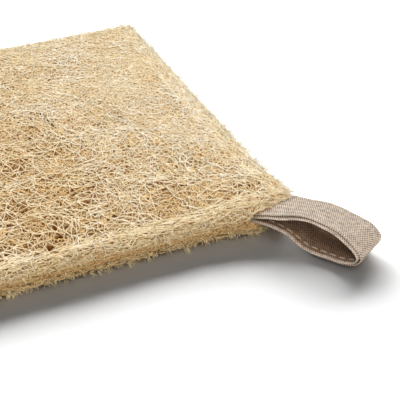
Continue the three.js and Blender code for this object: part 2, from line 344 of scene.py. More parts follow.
def felt_and_shade_share(tree):
    """0 at the front left of the pad, where painted shade darkens it, and 1 towards the right and the back,
    where the sheet is matted into felt.
    """
    across = arithmetic(tree, "MULTIPLY", object_axis(tree, "X"), FELT_AND_SHADE_PER_METRE[0])
    back = arithmetic(tree, "MULTIPLY", object_axis(tree, "Y"), FELT_AND_SHADE_PER_METRE[1])
    return span(tree, arithmetic(tree, "ADD", across, back), *FELT_AND_SHADE_SPAN)


# Tints, which colours are multiplied by, and colours
WHITE = (1, 1, 1)
PLAIN = (1, 1, 1, 1)
FELT_TINT = (1.02, 1.06, 1.16, 1)
# painted shade: these darken the front left of the pad
OPEN_AND_SHADE_TINT = (0.92, 0.89, 0.85, 1)
TOP_OPEN_AND_SHADE = (0.97, 0.94, 0.92, 1)
BODY_OPEN_AND_SHADE = (0.9, 0.86, 0.8, 1)
# gold tint and painted shade for the sides, darker towards the bottom
SIDE_GOLD_AND_SHADE = (0.80, 0.70, 0.54, 1)
FRINGE_GOLD_AND_SHADE = (0.90, 0.84, 0.70, 1)
# painted shade in the body's hollows and pits
SIDE_HOLLOW_SHADE = (0.72, 0.58, 0.40, 1)
FELT_HOLLOW_SHADE = (0.85, 0.74, 0.53)
OPEN_HOLLOW_SHADE = (0.42, 0.19, 0.045)
PIT_SHADE = (0.46, 0.22, 0.06)
GOLD_AND_SHADE_HEIGHTS = (5.0, 8.4)  # the sides' gold tint, partly the fibre's own colour and partly painted shade that darkens them towards the bottom, fades out between these
HOLLOW_HEIGHTS = (7.6, 8.4)
FRONT_HOLLOWS = (0.02, -0.07)  # metres along y between which the painted shade in the hollows grows more frequent
DEPTH_LAYER = "depth"  # how far each point of a body is sunk, in millimetres


def felt_and_shade_tinted(tree, color, open_and_shade_tint):
    """The colour, darker towards the front left, partly where the net is open and partly as painted shade,
    and paler where the sheet is matted into felt.
    """
    tint = mix(tree, felt_and_shade_share(tree), open_and_shade_tint, FELT_TINT)
    return mix(tree, 1.0, color, tint, "MULTIPLY")


def fibre_material(name, pale, warm, deep, open_and_shade_tint=OPEN_AND_SHADE_TINT, side_gold_and_shade=SIDE_GOLD_AND_SHADE):
    """Loofah fibre: straw colours that drift over the pad and along each fibre, tinted gold and darker low
    on the sides, partly own colour and partly painted shade.
    """
    material, tree, shader = principled(name, roughness=0.68, specular=0.12)
    broad = ramp(tree, noise(tree, scale=60, detail=2), [(0.38, warm), (0.6, pale)])
    fine = ramp(tree, noise(tree, scale=700, detail=3), [(0.3, deep), (0.52, WHITE)])
    straw = felt_and_shade_tinted(tree, mix(tree, 0.6, broad, fine, "MULTIPLY"), open_and_shade_tint)
    # own gold tint and painted shade, low on the sides
    gold_and_shade = mix(tree, 1.0, straw, side_gold_and_shade, "MULTIPLY")
    color = mix(tree, object_height(tree, *GOLD_AND_SHADE_HEIGHTS), gold_and_shade, straw)
    tree.links.new(color, shader.inputs["Base Color"])
    bump(tree, shader, noise(tree, scale=4000, detail=3), strength=0.35, distance=0.1 * MM)
    return material


def web_color(tree):
    """Pale threads of matted fibre, which meet round small cells whose darker middles are painted shade."""
    felt = [(0.3, (0.76, 0.61, 0.40)), (0.6, (0.94, 0.84, 0.65))]
    matted = ramp(tree, noise(tree, scale=500, detail=4), felt)
    cells = tree.nodes.new("ShaderNodeTexVoronoi")
    cells.feature = "DISTANCE_TO_EDGE"
    cells.inputs["Scale"].default_value = 700
    tree.links.new(tree.nodes.new("ShaderNodeTexCoord").outputs["Object"], cells.inputs["Vector"])
    # painted shade in the small gaps between the threads
    thread = ramp(tree, cells.outputs["Distance"], [(0.08, WHITE), (0.22, (0.49, 0.34, 0.14))])
    return felt_and_shade_tinted(tree, mix(tree, 0.8, matted, thread, "MULTIPLY"), BODY_OPEN_AND_SHADE)


def hollow_shade_color(tree):
    """Brown painted shade in the hollows: more of it at the front, shallow where the sheet is matted into
    felt, and deep in the pits.
    """
    front = span(tree, object_axis(tree, "Y"), *FRONT_HOLLOWS, top=0.18)
    depth = arithmetic(tree, "ADD", noise(tree, scale=620, detail=2), front)
    brown = ramp(tree, depth, [(0.52, WHITE), (0.62, OPEN_HOLLOW_SHADE)])
    shallow = ramp(tree, depth, [(0.50, WHITE), (0.62, FELT_HOLLOW_SHADE)])
    hollow = mix(tree, felt_and_shade_share(tree), brown, shallow)
    hollow = mix(tree, object_height(tree, *HOLLOW_HEIGHTS), SIDE_HOLLOW_SHADE, hollow)
    # painted shade that deepens where the body is sunk into the pits
    sunk = tree.nodes.new("ShaderNodeAttribute")
    sunk.attribute_name = DEPTH_LAYER
    sunk_share = arithmetic(tree, "MULTIPLY", sunk.outputs["Fac"], 0.25)
    return mix(tree, 1.0, hollow, ramp(tree, sunk_share, [(0.3, WHITE), (0.55, PIT_SHADE)]), "MULTIPLY")


def web_material(name):
    """The matted fibre under the nets, with painted shade in its hollows."""
    material, tree, shader = principled(name, roughness=0.85, specular=0.05)
    color = mix(tree, 1.0, web_color(tree), hollow_shade_color(tree), "MULTIPLY")
    tree.links.new(color, shader.inputs["Base Color"])
    bump(tree, shader, noise(tree, scale=1500, detail=4), strength=0.8, distance=0.4 * MM)
    return material


FIBRE_TOP = fibre_material(
    "loofah_fibre_top",
    pale=(0.93, 0.84, 0.65),
    warm=(0.89, 0.77, 0.53),
    deep=(0.87, 0.74, 0.52),
    open_and_shade_tint=TOP_OPEN_AND_SHADE,
)
# painted shade: the lower nets get darker, more golden copies of the fibre colour
FIBRE_FINE = fibre_material(
    "loofah_fibre_fine",
    pale=(0.92, 0.79, 0.54),
    warm=(0.88, 0.71, 0.43),
    deep=(0.88, 0.72, 0.47),
)
FIBRE_UNDER = fibre_material(
    "loofah_fibre_under",
    pale=(0.84, 0.65, 0.37),
    warm=(0.78, 0.56, 0.28),
    deep=(0.74, 0.55, 0.30),
)
FIBRE_EDGE = fibre_material(
    "loofah_fibre_edge",
    pale=(0.95, 0.84, 0.61),
    warm=(0.91, 0.77, 0.50),
    deep=(0.80, 0.65, 0.44),
    open_and_shade_tint=PLAIN,
)
FRINGE = fibre_material(
    "loofah_fringe",
    pale=(0.95, 0.86, 0.66),
    warm=(0.90, 0.79, 0.55),
    deep=(0.74, 0.62, 0.42),
    open_and_shade_tint=PLAIN,
    side_gold_and_shade=FRINGE_GOLD_AND_SHADE,
)
BODY = web_material("loofah_body")

# Meshes


def mesh_object(name, vertices, faces, material):
    """A smooth mesh from vertices in millimetres and arrays of faces."""
    mesh = bpy.data.meshes.new(name)
    corners = np.concatenate([f.ravel() for f in faces]).astype(np.int32)
    sizes = np.concatenate([np.full(len(f), f.shape[1]) for f in faces])
    starts = np.concatenate([[0], np.cumsum(sizes)[:-1]]).astype(np.int32)
    mesh.vertices.add(len(vertices))
    mesh.vertices.foreach_set("co", (vertices * MM).astype(np.float32).ravel())
    mesh.loops.add(len(corners))
    mesh.loops.foreach_set("vertex_index", corners)
    mesh.polygons.add(len(sizes))
    mesh.polygons.foreach_set("loop_start", starts)
    mesh.polygons.foreach_set("use_smooth", np.ones(len(sizes), bool))
    mesh.update(calc_edges=True)
    mesh.validate()
    piece = bpy.data.objects.new(name, mesh)
    bpy.context.scene.collection.objects.link(piece)
    mesh.materials.append(material)
    return piece


def tubes(lines, radii, up, sides=3):
    """Closed tubes along lines of shape (tube, point, 3)."""
    count, points = lines.shape[:2]
    tangent = unit(np.gradient(lines, axis=1))
    across = unit(np.cross(tangent, up))
    top = np.cross(across, tangent)
    turn = math.pi / 2 + 2 * math.pi * np.arange(sides) / sides
    spokes = across[:, :, None] * np.cos(turn)[:, None] + top[:, :, None] * np.sin(turn)[:, None]
    reach = np.broadcast_to(radii, (count, points))[..., None, None] * spokes
    vertices = (lines[:, :, None] + reach).reshape(-1, 3)
    index = np.arange(len(vertices)).reshape(count, points, sides)
    turned = np.roll(index, -1, axis=2)
    walls = np.stack([index[:, :-1], index[:, 1:], turned[:, 1:], turned[:, :-1]], axis=-1).reshape(-1, 4)
    ends = np.concatenate([index[:, 0], index[:, -1, ::-1]])
    return vertices, [walls, ends]


def loofah_piece(name, lines, radii, up, side, material):
    """One net or mat of fibres, as a piece of its sheet."""
    vertices, faces = tubes(lines, radii, up)
    piece = mesh_object(name, vertices, faces, material)
    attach(piece, "root")
    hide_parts(SHEET_NODE[side])
    return piece


SHEET_NODE = {1: "top_loofah_sheet", -1: "bottom_loofah_sheet"}
SHEET_NAME = {1: "top", -1: "bottom"}


# The nets


FLOW = 2.5
FLOW_LENGTHS = (30, 26)
LATTICE_MARGIN = np.array([12, 34])  # how far past the sheet the lattice reaches


def flow(plan, seed):
    """Draws a straight lattice out into the gourd's own directions."""
    warped = plan.copy()
    for axis, wavelength in enumerate(FLOW_LENGTHS):
        warped[:, axis] += FLOW * waves(plan, wavelength, seed + axis)
    return warped


def knots(spacing, stretch, jitter, seed):
    """Scattered knots of a net: plan points, the edges between neighbours, and the meshes between them."""
    random = np.random.default_rng(seed)
    step = np.array([spacing * stretch, spacing / stretch])
    reach = FLAT_HALF + LATTICE_MARGIN
    columns, rows = (2 * reach / step).astype(int)
    grid = np.stack(np.meshgrid(np.arange(columns), np.arange(rows)), axis=-1).astype(float)
    grid[..., 0] += 0.5 * (np.arange(rows) % 2)[:, None]
    grid = (grid + random.uniform(-jitter, jitter, grid.shape)).reshape(-1, 2)
    found = delaunay_2d_cdt([Vector(p) for p in grid], [], [], 0, 1e-7)
    lattice = np.array([tuple(v) for v in found[0]])
    plan = flow(lattice * step - reach, seed)
    return plan, np.array(found[1]), np.array([f for f in found[2]])


def inside(plan, margin=0.0):
    return outline_frame(plan)[0] > margin


# The larger pits of the top sheet: place on the pad, and radius
PITS = [
    (-26.4, -60.0, 1.9),
    (-24.6, -68.1, 1.8),
    (-19.3, -58.2, 2.0),
    (-19.4, -63.7, 1.6),
    (-12.8, -54.7, 1.6),
    (0.9, -60.2, 1.6),
    (-26.4, -45.4, 1.4),
    (-33.0, -52.0, 1.6),
    (-38.0, -66.0, 1.7),
    (-19.1, -18.9, 1.3),
    (8.0, -66.5, 1.2),
    (-4.0, -70.0, 1.3),
    (-41.0, -40.0, 1.5),
]
PIT_PUSH = 0.85  # the share of the way to a pit's rim that a point in it is pushed
PIT_CLEAR = 0.8  # the share of a pit's radius that stays free of fibres
PIT_DEPTH = 1.5


def pits_on(side):
    return PITS if side > 0 else []


def open_pits(plan, side):
    """Pushes plan points out of the pits."""
    for x, y, radius in pits_on(side):
        off = plan - [x, y]
        away = np.linalg.norm(off, axis=-1, keepdims=True)
        plan = plan + unit(off) * np.clip(radius - away, 0, None) * PIT_PUSH
    return plan


def clear_of_pits(points, side):
    """Which plan points lie over no pit."""
    clear = np.full(len(points), True)
    for x, y, radius in pits_on(side):
        clear &= np.linalg.norm(points - [x, y], axis=-1) > PIT_CLEAR * radius
    return clear


def openness(plan):
    """How open the net is, from 0 to 1: most towards the front left."""
    drift = 0.5 - plan[..., 0] / 170 - plan[..., 1] / 220
    return np.clip(drift + 0.28 * waves(plan, 34, 5) - 0.5 * smoothstep(beyond_valley(plan), 0, 3), 0, 1)


def curved(a, b, heights, count, bow, arch, random):
    """Bowed lines from plan points a to b, with their lifts."""
    share = np.linspace(0, 1, count)
    line = a[:, None] + (b - a)[:, None] * share[:, None]
    normal = np.stack([-(b - a)[:, 1], (b - a)[:, 0]], axis=-1)
    swing = np.sin(np.pi * share)
    line = line + normal[:, None] * (random.normal(0, bow, len(a))[:, None] * swing)[..., None]
    lift = heights[0][:, None] * (1 - share) + heights[1][:, None] * share
    lift = lift + random.normal(0, arch, len(a))[:, None] * swing
    return line, lift


HUB_SHARE = 0.26
HUB_STOUTNESS = 1.3
HUB_LIFT = 0.3
MATTED_SINK = 0.25
LONGEST_STAR = 2.4  # fibres of a star net, in spacings
LONGEST_FINE = 2.2
KEPT_BETWEEN_HUBS = 0.5
KEPT_ON_EDGE = 0.3
EDGE_BELOW_NET = 4
UNDER_LEVEL = -0.5  # a net below this leaves the pits open


def star_net(side, spacing, points, level, radii, seed):
    """A net of stout fibres, of which some knots are star-shaped hubs that stand proud."""
    random = np.random.default_rng(seed)
    plan, edges, _ = knots(spacing, 0.9, 0.55, seed)
    plan = open_pits(plan, side)
    a, b = edges.T
    hub = random.random(len(plan)) < HUB_SHARE
    size = np.linalg.norm(plan[a] - plan[b], axis=1)
    middle = (plan[a] + plan[b]) / 2
    keep = inside(plan[a]) & inside(plan[b]) & (size < LONGEST_STAR * spacing)
    keep &= hub[a] | hub[b] | (random.random(len(a)) < KEPT_BETWEEN_HUBS)
    keep &= inside(middle, NET_GIRTH - EDGE_BELOW_NET) | (random.random(len(a)) < KEPT_ON_EDGE)
    if level < UNDER_LEVEL:
        keep &= clear_of_pits(middle, side)
    a, b = a[keep], b[keep]
    matted = 1 - openness(plan)
    uneven = np.clip(random.normal(0, 0.22, len(plan)), -0.5, 0.4)
    lift = level + uneven + HUB_LIFT * hub - MATTED_SINK * matted
    line, lifts = curved(plan[a], plan[b], (lift[a], lift[b]), points, bow=0.1, arch=0.14, random=random)
    place, normal = on_sheet(line, lifts, side)
    share = np.linspace(0, 1, points)
    stout = np.where(hub, HUB_STOUTNESS, 1.0)
    width = stout[a][:, None] * (1 - share) + stout[b][:, None] * share - 0.3 * np.sin(np.pi * share)
    thick = random.uniform(*radii, len(a)) * (1.12 - 0.42 * matted[a])
    return place, thick[:, None] * width, normal


FINE_GAPS = 0.25  # the share of fine fibres missing where the net is most open
FINE_RADII = (0.16, 0.25)


def fine_net(side, spacing, level, seed):
    """The finer net, with meshes of many sides."""
    random = np.random.default_rng(seed)
    plan, _, meshes = knots(spacing, 0.92, 0.5, seed)
    middle = plan[meshes].mean(axis=1) + random.normal(0, 0.12 * spacing, (len(meshes), 2))
    middle = open_pits(middle, side)
    rims = np.sort(np.concatenate([meshes[:, [0, 1]], meshes[:, [1, 2]], meshes[:, [2, 0]]]), axis=1)
    owner = np.tile(np.arange(len(meshes)), 3)
    order = np.lexsort(rims.T)
    rims, owner = rims[order], owner[order]
    shared = np.flatnonzero((rims[1:] == rims[:-1]).all(axis=1))
    a, b = owner[shared], owner[shared + 1]
    size = np.linalg.norm(middle[a] - middle[b], axis=1)
    keep = inside(middle[a]) & inside(middle[b]) & (size < LONGEST_FINE * spacing)
    keep &= random.random(len(a)) > FINE_GAPS * smoothstep(openness(middle[a]), 0.5, 1.0)
    keep &= clear_of_pits((middle[a] + middle[b]) / 2, side)
    a, b = a[keep], b[keep]
    lift = level + np.clip(random.normal(0, 0.25, len(middle)) - 0.35 * openness(middle), -0.8, 0.4)
    line, lifts = curved(middle[a], middle[b], (lift[a], lift[b]), 2, bow=0.0, arch=0.0, random=random)
    place, normal = on_sheet(line, lifts, side)
    thick = random.uniform(*FINE_RADII, len(a))[:, None] * np.ones(2)
    return place, thick, normal


def taper(points, start, steepness):
    """The thickness along a fibre that thins out at both ends, from 0 to 1."""
    return np.clip(np.sin(np.linspace(start, np.pi - start, points)) * steepness, 0, 1)


STRAND_RADII = (0.13, 0.21)
EDGE_RADII = (0.1, 0.22)
MAT_RADII = (0.1, 0.17)


def strands(side, count, points, seed):
    """Long single strands that wander over the net."""
    random = np.random.default_rng(seed)
    start = random.uniform(-FLAT_HALF, FLAT_HALF, (count, 2))
    step = random.uniform(0.5, 1.5, count)
    heading = random.normal(0, 0.8, count)
    bends = np.cumsum(random.normal(0, 0.12, (count, points)), axis=1)
    turn = bends + random.normal(0, 0.04, count)[:, None] * np.arange(points)
    angle = heading[:, None] + turn
    moves = np.stack([np.cos(angle), np.sin(angle)], axis=-1) * step[:, None, None]
    line = start[:, None] + np.cumsum(moves, axis=1)
    whole = inside(line, 0.3).all(axis=1)
    line = open_pits(line[whole], side)
    kept = len(line)
    wobble = np.cumsum(random.normal(0, 0.10, (kept, points)), axis=1)
    level = random.uniform(-0.35, 0.25, kept)[:, None]
    lift = np.clip(level + wobble - wobble.mean(axis=1, keepdims=True), -0.7, 0.55)
    place, normal = on_sheet(line, lift, side)
    return place, random.uniform(*STRAND_RADII, kept)[:, None] * taper(points, 0.12, 2.2), normal


def edge_strands(side, count, points, seed):
    """Fibres laid along the rolled edge, packed closely."""
    random = np.random.default_rng(seed)
    start = random.uniform(0, ROUND, count)
    girth = random.uniform(0.1, NET_GIRTH - 0.5, count)
    step = random.uniform(0.5, 1.3, count)
    distance = start[:, None] + step[:, None] * np.arange(points)
    sway = np.cumsum(random.normal(0, 0.22, (count, points)), axis=1)
    sway += random.normal(0, 0.27, count)[:, None] * np.arange(points)
    girths = np.clip(girth[:, None] + sway, 0.05, NET_GIRTH + 2)
    wobble = np.cumsum(random.normal(0, 0.09, (count, points)), axis=1)
    lift = np.clip(random.uniform(-0.4, 0.3, count)[:, None] + wobble, -0.7, 0.5)
    place, normal = on_sheet(around(distance, girths), lift, side)
    return place, random.uniform(*EDGE_RADII, count)[:, None] * taper(points, 0.15, 2.2), normal


def on_side(distance, height):
    """Places and normals on the pad's side face, across the crease."""
    rise = PROFILE[:, 1].argmax()
    girth = np.interp(abs(height - SEAM_Z), PROFILE[:rise, 1], GIRTH[:rise])
    plan = around(distance, girth)
    flat = np.full(height.shape, 0.05)
    above, below = on_sheet(plan, flat, 1), on_sheet(plan, flat, -1)
    upper = (height > SEAM_Z)[..., None]
    return np.where(upper, above[0], below[0]), np.where(upper, above[1], below[1])


MAT_STARTS = (1.2, 8.0)  # heights on the side at which its fibres start
MAT_HEIGHTS = (0.9, 8.4)  # and between which they stay


def side_mat(count, points, seed):
    """Short fibres matted over the side face, which hide most of the crease."""
    random = np.random.default_rng(seed)
    angle = random.normal(0, 0.35, (count, 1)) + np.cumsum(random.normal(0, 0.3, (count, points)), axis=1)
    step = random.uniform(0.5, 1.1, (count, 1))
    distance = random.uniform(0, ROUND, (count, 1)) + np.cumsum(step * np.cos(angle), axis=1)
    height = random.uniform(*MAT_STARTS, (count, 1)) + np.cumsum(step * np.sin(angle), axis=1)
    parted = mouth_at(around(distance, np.full(distance.shape, UNROLLED))).max(axis=1) > 0
    whole = (height.min(axis=1) > MAT_HEIGHTS[0]) & (height.max(axis=1) < MAT_HEIGHTS[1]) & ~parted
    place, normal = on_side(distance[whole], height[whole])
    place = place + normal * random.uniform(-0.1, 0.25, (len(place), 1, 1))
    return place, random.uniform(*MAT_RADII, len(place))[:, None] * taper(points, 0.3, 1.6), normal


TUFT = 4  # loose ends in a tuft, on average
TUFT_SPREAD = 0.35
ROOT_LIFT = -0.15
LONGEST_END = 3.4
FLOOR_GAP = 0.12
FRINGE_RADII = (0.09, 0.15)


def fringe(side, count, roots, reach, seed):
    """Short loose ends that stand off the rolled edge in small tufts."""
    random = np.random.default_rng(seed)
    tuft = random.integers(0, count // TUFT, count)
    distance = random.uniform(0, ROUND, count)[tuft] + random.normal(0, TUFT_SPREAD, count)
    girth = np.clip(random.uniform(*roots, count)[tuft] + random.normal(0, TUFT_SPREAD, count), *roots)
    plan = around(distance, girth)
    root, normal = on_sheet(plan, np.full(count, ROOT_LIFT), side)
    out = np.concatenate([outline_frame(plan)[1], np.zeros((count, 1))], axis=1)
    lean = random.normal(0, 0.35, (count, 3))[tuft] + random.normal(0, 0.22, (count, 3))
    heading = unit(0.5 * normal + 0.8 * out + lean)
    longer = random.uniform(0.35, 1.65, count)[tuft]
    size = np.minimum(random.gamma(5.0, reach / 5, count) * longer, LONGEST_END)
    line = np.stack([root, root + heading * size[:, None]], axis=1)
    line[..., 2] = np.maximum(line[..., 2], FLOOR_GAP)
    thick = random.uniform(*FRINGE_RADII, count)[:, None] * np.array([1, 0.5])
    return line, thick, np.repeat(unit(np.cross(heading, [0.3, 0.2, 0.9]))[:, None], 2, axis=1)


BODY_STEPS = 420
ROLL_RINGS = 14
RING_STEP = 1.1
LEAST_DEPTH = 0.55
MOST_DEPTH = 3.2
ROLL_DEPTH = 0.62  # the share of its depth that the body has under the rolled edge
BACK_GIRTH = 9.0
BACK_GAP = 0.15


def ring_at(distance, girth):
    """A ring of plan points at one girth; past the corners' centres it shrinks towards the pad's middle."""
    ring = around(distance, np.full(len(distance), min(girth, FLAT_RADIUS)))
    spare = max(girth - FLAT_RADIUS, 0)
    return ring - np.sign(ring) * np.minimum(spare, abs(ring))


def body_depth(plan, girth, side, seed):
    """How far the body lies under the net: more where the net is open, and most in the pits."""
    rough = np.random.default_rng(seed).normal(0, 0.12, girth.shape)
    depth = 0.4 + 1.1 * openness(plan) + 0.4 * waves(plan, 3.1, seed) + rough
    depth = np.maximum(depth, LEAST_DEPTH) * smoothstep(girth, 0, 3)
    depth = depth * np.where(girth < NET_GIRTH, ROLL_DEPTH, 1)
    for x, y, radius in pits_on(side):
        away = np.linalg.norm(plan - [x, y], axis=-1)
        depth += PIT_DEPTH * (1 - smoothstep(away, radius * 0.5, radius * 1.5))
    return depth


def body_faces(rings, side):
    """Faces of a closed body: the walls between its rings, then its flat back."""
    steps = BODY_STEPS
    index = np.arange(rings * steps).reshape(-1, steps)
    turned = np.roll(index, -1, axis=1)
    walls = np.stack([index[:-1], turned[:-1], turned[1:], index[1:]], axis=-1).reshape(-1, 4)
    back_ring = np.arange(steps) + rings * steps
    back = np.stack([back_ring, np.roll(back_ring, -1), turned[0], index[0]], axis=-1)
    faces = [walls, back, index[-1][None], back_ring[::-1][None]]
    return faces if side > 0 else [f[:, ::-1] for f in faces]


# The body's brown hollows are painted shade between the fibres.
def sheet_body(side, seed):
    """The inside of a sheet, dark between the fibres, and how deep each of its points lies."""
    distance = np.linspace(0, ROUND, BODY_STEPS, endpoint=False)
    rolled = np.linspace(0, NET_GIRTH, ROLL_RINGS)
    level = np.arange(NET_GIRTH + 1.0, FLAT_HALF[0] - 1, RING_STEP)
    girths = np.concatenate([rolled, level])
    plan = np.array([ring_at(distance, girth) for girth in girths])
    depth = body_depth(plan, girths[:, None] * np.ones(BODY_STEPS), side, seed)
    place, _ = on_sheet(plan, -np.clip(depth, 0, MOST_DEPTH), side)
    inner = around(distance, np.full(BODY_STEPS, BACK_GIRTH))
    back = np.concatenate([inner, np.full((BODY_STEPS, 1), SEAM_Z + side * BACK_GAP)], axis=1)
    vertices = np.concatenate([place.reshape(-1, 3), back])
    depths = np.concatenate([depth.ravel(), np.zeros(BODY_STEPS)])
    return vertices, body_faces(len(girths), side), depths


def loofah_sheet(side, nets, seed):
    """A sheet's body, and over it the nets, each with its material."""
    name = SHEET_NAME[side]
    vertices, faces, depth = sheet_body(side, seed)
    body = mesh_object(f"{name}_sheet_body", vertices, faces, BODY)
    layer = body.data.attributes.new(DEPTH_LAYER, "FLOAT", "POINT")
    layer.data.foreach_set("value", depth.astype(np.float32))
    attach(body, "root")
    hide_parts(SHEET_NODE[side])
    for part, ((place, thick, normal), material) in nets.items():
        loofah_piece(f"{name}_{part}", place, thick, normal, side, material)


loofah_sheet(
    1,
    {
        "under_net": (star_net(1, 2.3, 2, -0.75, (0.2, 0.3), 101), FIBRE_UNDER),
        "fine_net": (fine_net(1, 1.75, -0.22, 102), FIBRE_FINE),
        "main_net": (star_net(1, 2.6, 4, 0.0, (0.2, 0.29), 103), FIBRE_TOP),
        "strands": (strands(1, 70, 20, 104), FIBRE_TOP),
        "edge_strands": (edge_strands(1, 3400, 7, 105), FIBRE_EDGE),
        "side_mat": (side_mat(2600, 6, 107), FIBRE_EDGE),
        "fringe": (fringe(1, 4400, (1.6, 7.2), 1.7, 106), FRINGE),
    },
    100,
)
loofah_sheet(
    -1,
    {
        "fine_net": (fine_net(-1, 2.3, -0.3, 202), FIBRE_FINE),
        "main_net": (star_net(-1, 3.9, 4, 0.0, (0.17, 0.26), 203), FIBRE_TOP),
        "edge_strands": (edge_strands(-1, 2000, 7, 205), FIBRE_EDGE),
        "fringe": (fringe(-1, 5400, (1.2, 3.9), 1.45, 206), FRINGE),
    },
    200,
)

# The linen loop

TAPE_LINE = [
    (-9, 5.15),
    (-4, 6.4),
    (0, 7.05),
    (6, 9.1),
    (13, 10.9),
    (19, 12.4),
    (24, 12.75),
    (30, 12.1),
    (35.5, 10.6),
    (39.3, 8.2),
    (40.9, 5.6),
    (39, 2.9),
    (34.5, 1.5),
    (29, 1.25),
    (24, 1.25),
    (20, 1.8),
    (16, 3.6),
    (12, 5),
    (7, 5.5),
    (0, 5),
    (-4, 4.2),
    (-9, 2.95),
]
TILT = 1.15
TILT_START = 9.5
TILT_FULL = 12.75
TAPE_HALF = 0.7
WARP_PITCH = 0.6
WEFT_PITCH = 0.42
THREAD_STEP = 0.42
LIP = 0.75  # the inner ply stands out this far past the outer one
FOLD_DEPTH = 0.6
EDGE_START = 0.2
WEAVE_RELIEF = 0.035
WAVY_WIDTH = 4.0  # the tape's slit edge waves over this width
OUTER_WAVE = 0.05
INNER_WAVE = 0.16
UV_LENGTH = 100  # millimetres that the tape's UVs count as one


def even_line(points, step):
    """Distances at even steps along a smooth line, and its places and normals there."""
    line = smooth_line(points, 24)
    length = lengths_along(line)
    at = np.linspace(0, length[-1], int(length[-1] / step) + 1)
    line = np.stack([np.interp(at, length, line[:, k]) for k in range(2)], axis=1)
    tangent = unit(np.gradient(line, axis=0))
    return at, line, np.stack([-tangent[:, 1], tangent[:, 0]], axis=1)


def on_tape(line, normal, across, offset):
    """Places for distances across the tape and offsets from its middle, along its line."""
    out = line + normal * offset[..., None]
    level = EXIT + out[..., :1] * ALONG + across[..., None] * ACROSS
    tilt = TILT * smoothstep(out[..., 1], TILT_START, TILT_FULL)
    height = out[..., 1] + tilt * (1 - 2 * across / TAPE_WIDTH)
    return np.concatenate([level, height[..., None]], axis=-1)


def tape_section():
    """The folded tape's section, (across, offset), counted round it; the fold is at the far edge."""
    run = np.arange(EDGE_START, TAPE_WIDTH - FOLD_DEPTH, THREAD_STEP)
    fold = np.linspace(math.pi / 2, -math.pi / 2, 9)[1:-1]
    outer = [(x, TAPE_HALF) for x in run]
    turn = [(TAPE_WIDTH - FOLD_DEPTH + FOLD_DEPTH * math.cos(t), TAPE_HALF * math.sin(t)) for t in fold]
    inner = [(x - LIP * (1 - x / TAPE_WIDTH), -TAPE_HALF) for x in run[::-1]]
    inner_lip = [(-LIP, -0.6), (-LIP - 0.08, -0.5), (-LIP + 0.02, -0.34), (-LIP + 0.15, -0.26)]
    slit = [(3.0, -0.2), (8.0, -0.1), (13.6, -0.08), (13.9, 0.0), (13.6, 0.08), (8.0, 0.1), (3.0, 0.2)]
    outer_lip = [(0.16, 0.24), (0.02, 0.34), (-0.02, 0.5), (0.05, 0.65)]
    return np.array(outer + turn + inner + inner_lip + slit + outer_lip), len(run), len(turn)


def unfold(piece, section, at):
    """Gives the tape UVs as if it were laid flat: along it, and round its section."""
    layer = piece.data.uv_layers.new(name="UVMap")
    corner = np.zeros(len(piece.data.loops), np.int32)
    piece.data.loops.foreach_get("vertex_index", corner)
    girth = lengths_along(section)
    flat = np.stack(np.meshgrid(girth, at), axis=-1).reshape(-1, 2)[:, ::-1]
    layer.data.foreach_set("uv", (flat[corner] / UV_LENGTH).astype(np.float32).ravel())


def weave(rows, count, run, turn):
    """The relief of a plain weave, on the outer and the inner ply."""
    crossing = (np.arange(rows)[:, None] + np.arange(count)[None]) % 2
    woven = np.zeros(count)
    woven[:run] = 1
    woven[run + turn : run + turn + run] = -1
    return np.where(crossing, 1.0, -1.0) * WEAVE_RELIEF * woven


def tape():
    """The folded tape, as a closed woven tube with its slit, along the loop's line."""
    at, line, normal = even_line(TAPE_LINE, THREAD_STEP)
    section, run, turn = tape_section()
    count = len(section)
    across = section[None, :, 0] * np.ones((len(at), 1))
    offset = section[None, :, 1] * np.ones((len(at), 1)) + weave(len(at), count, run, turn)
    edge = np.clip(1 - across / WAVY_WIDTH, 0, 1)
    inner_side = section[:, 1] < -0.05
    wave = np.sin(at / 3.1)[:, None] + np.sin(at / 1.3 + 1)[:, None] * 0.5
    across = across + edge * wave * np.where(inner_side, INNER_WAVE, OUTER_WAVE)
    place = on_tape(line[:, None], normal[:, None], across, offset)
    index = np.arange(len(at) * count).reshape(-1, count)
    turned = np.roll(index, -1, axis=1)
    walls = np.stack([index[:-1], index[1:], turned[1:], turned[:-1]], axis=-1).reshape(-1, 4)
    faces = [walls, index[:1], index[-1:, ::-1]]
    piece = mesh_object("linen_tape", place.reshape(-1, 3), faces, LINEN)
    unfold(piece, section, at)
    return piece


SLUB_SCALES = ((90, 25, 1), (25, 90, 1))
# painted shade for the inside of the loop
INNER_PAINTED_SHADE = (0.44, 0.34, 0.27, 1)


def ribs(tree, distance, pitch):
    """A sine along one of the tape's UVs, with half a wave for each thread."""
    return arithmetic(tree, "SINE", arithmetic(tree, "MULTIPLY", distance, UV_LENGTH * math.pi / pitch))


def slub(tree, uv, stretch):
    """The uneven thickness of the threads that run one way."""
    scale = tree.nodes.new("ShaderNodeMapping")
    scale.inputs["Scale"].default_value = stretch
    tree.links.new(uv, scale.inputs["Vector"])
    return noise(tree, scale=1.0, detail=1, coordinates=scale.outputs["Vector"])


def inner_ply(tree, girth):
    """1 on the face that lies inside the loop."""
    past_fold = arithmetic(tree, "GREATER_THAN", girth, (TAPE_WIDTH + 0.4) / UV_LENGTH)
    before_lip = arithmetic(tree, "LESS_THAN", girth, (2 * TAPE_WIDTH + 0.3) / UV_LENGTH)
    return arithmetic(tree, "MULTIPLY", past_fold, before_lip)


